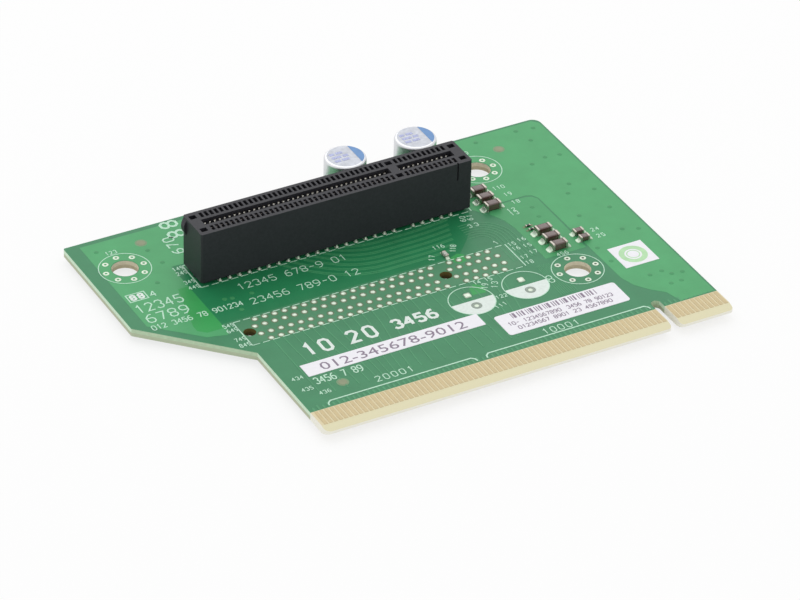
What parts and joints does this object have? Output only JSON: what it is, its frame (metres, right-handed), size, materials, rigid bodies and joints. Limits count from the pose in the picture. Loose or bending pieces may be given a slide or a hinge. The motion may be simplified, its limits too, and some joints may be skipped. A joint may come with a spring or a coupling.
{
  "type": "riser card",
  "caption": "Notched green circuit board with a gold connecting edge, one black card slot and empty places for more.",
  "frame": {"origin": "the tip of the connecting edge, on the centre line of its key notch, in the plane of the solder face", "axes": "+X along the connecting edge towards the short tab, +Y from that edge into the board, +Z out of the component face"},
  "size_m": [0.1003, 0.0714, 0.0139],
  "materials": {
    "solder_mask": "satin green lacquer over glass-fibre board",
    "gold_plating": "satin gold plate",
    "black_plastic": "moulded, slightly glossy",
    "contact_alloy": "plated spring strip",
    "can_aluminium": "drawn can, satin",
    "seal_rubber": "matt",
    "tin": "reflowed tin solder",
    "chip_ceramic": "matt brown",
    "resistor_black": "matt black",
    "label_paper": "matt white"
  },
  "bodies": {
    "root": {"circuit_board": "solder_mask", "gold_fingers_component_side": "gold_plating", "gold_fingers_solder_side": "gold_plating", "slot_housing": "black_plastic", "slot_contacts_front_row": "contact_alloy", "slot_contacts_back_row": "contact_alloy", "capacitor_1_can": "can_aluminium", "capacitor_1_seal": "seal_rubber", "capacitor_1_leads": "tin", "capacitor_2_can": "can_aluminium", "capacitor_2_seal": "seal_rubber", "capacitor_2_leads": "tin", "chip_capacitor_1_body": "chip_ceramic", "chip_capacitor_1_end_caps": "tin", "chip_capacitor_2_body": "chip_ceramic", "chip_capacitor_2_end_caps": "tin", "chip_capacitor_3_body": "chip_ceramic", "chip_capacitor_3_end_caps": "tin", "chip_capacitor_4_body": "chip_ceramic", "chip_capacitor_4_end_caps": "tin", "chip_capacitor_5_body": "chip_ceramic", "chip_capacitor_5_end_caps": "tin", "chip_capacitor_6_body": "chip_ceramic", "chip_capacitor_6_end_caps": "tin", "chip_capacitor_7_body": "chip_ceramic", "chip_capacitor_7_end_caps": "tin", "chip_capacitor_8_body": "chip_ceramic", "chip_capacitor_8_end_caps": "tin", "chip_capacitor_9_body": "chip_ceramic", "chip_capacitor_9_end_caps": "tin", "chip_resistor_1_body": "resistor_black", "chip_resistor_1_end_caps": "tin", "chip_resistor_2_body": "resistor_black", "chip_resistor_2_end_caps": "tin", "chip_solder_pads": "tin", "strip_label": "label_paper", "bar_label": "label_paper", "square_label": "label_paper"}
  },
  "joints": []
}
